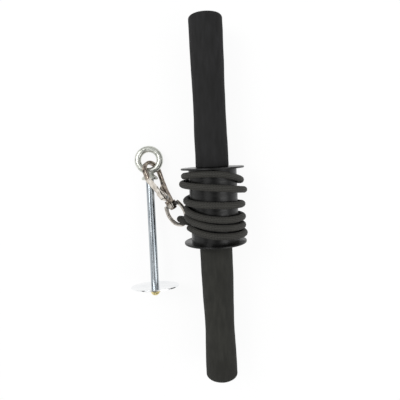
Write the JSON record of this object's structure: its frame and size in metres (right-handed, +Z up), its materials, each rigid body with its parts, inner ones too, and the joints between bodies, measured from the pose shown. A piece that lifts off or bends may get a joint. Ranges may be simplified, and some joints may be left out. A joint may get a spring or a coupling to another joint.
{
  "type": "wrist roller",
  "caption": "Foam grip bar with a rope spool, a swivel snap hook on the rope and a loading pin for weight plates.",
  "frame": {"origin": "on the plane that the roller's flanges and the loading pin's disc rest on, midway across the part and midway along the bar", "axes": "+Y along the bar towards the grip on the lifting eye's side, +Z up from the resting plane, +X from the loading pin to the bar"},
  "size_m": [0.1498, 0.44, 0.0766],
  "materials": {
    "bar_tube": "brushed",
    "upper_grip": "matte foam",
    "lower_grip": "matte foam",
    "upper_end_plug": "matte",
    "lower_end_plug": "matte",
    "spool_drum": "glossy",
    "upper_flange": "glossy",
    "lower_flange": "glossy",
    "rope_winding": "braided",
    "rope_loop": "braided",
    "rope_end_turn": "braided",
    "rope_anchor_knot": "braided",
    "swivel_eye": "nickel plated",
    "swivel_rivet": "nickel plated",
    "swivel_collar": "nickel plated",
    "hook_body": "nickel plated",
    "hook_gate": "nickel plated",
    "gate_pin": "plain",
    "gate_spring": "spring steel",
    "lifting_eye": "zinc plated",
    "load_rod": "zinc plated",
    "load_disc": "bright zinc",
    "disc_nut": "yellow zinc"
  },
  "bodies": {
    "roller": {"bar_tube": "bar_tube", "upper_grip": "upper_grip", "lower_grip": "lower_grip", "upper_end_plug": "upper_end_plug", "lower_end_plug": "lower_end_plug", "spool_drum": "spool_drum", "upper_flange": "upper_flange", "lower_flange": "lower_flange", "rope_winding": "rope_winding", "rope_loop": "rope_loop", "rope_end_turn": "rope_end_turn", "rope_anchor_knot": "rope_anchor_knot"},
    "eye": {"swivel_eye": "swivel_eye"},
    "hook": {"hook_body": "hook_body", "swivel_rivet": "swivel_rivet", "swivel_collar": "swivel_collar", "gate_pin": "gate_pin", "gate_spring": "gate_spring"},
    "gate": {"hook_gate": "hook_gate"},
    "loading_pin": {"lifting_eye": "lifting_eye", "load_rod": "load_rod", "load_disc": "load_disc", "disc_nut": "disc_nut"}
  },
  "joints": [
    {"name": "eye_swing", "type": "hinge", "parent": "roller", "child": "eye", "pos_m": [-0.00088, -0.02174, 0.01343], "axis": [0.891, 0.454, 0], "range_deg": [-45, 0]},
    {"name": "hook_swivel", "type": "hinge", "parent": "eye", "child": "hook", "pos_m": [-0.01655, -0.002, 0.01343], "axis": [-0.454, 0.891, 0], "range_deg": [-60, 60]},
    {"name": "gate_pivot", "type": "hinge", "parent": "hook", "child": "gate", "pos_m": [-0.02465, 0.00958, 0.01657], "axis": [0.7556, 0.385, 0.5299], "range_deg": [-2.4, 0], "stiffness_Nm_per_rad": 0.03, "springref_deg": 11.46},
    {"name": "ring_turn", "type": "hinge", "parent": "hook", "child": "loading_pin", "pos_m": [-0.04345, 0.0579, 0.00945], "axis": [0, -0.1281, -0.9918], "range_deg": [0, 180]}
  ]
}
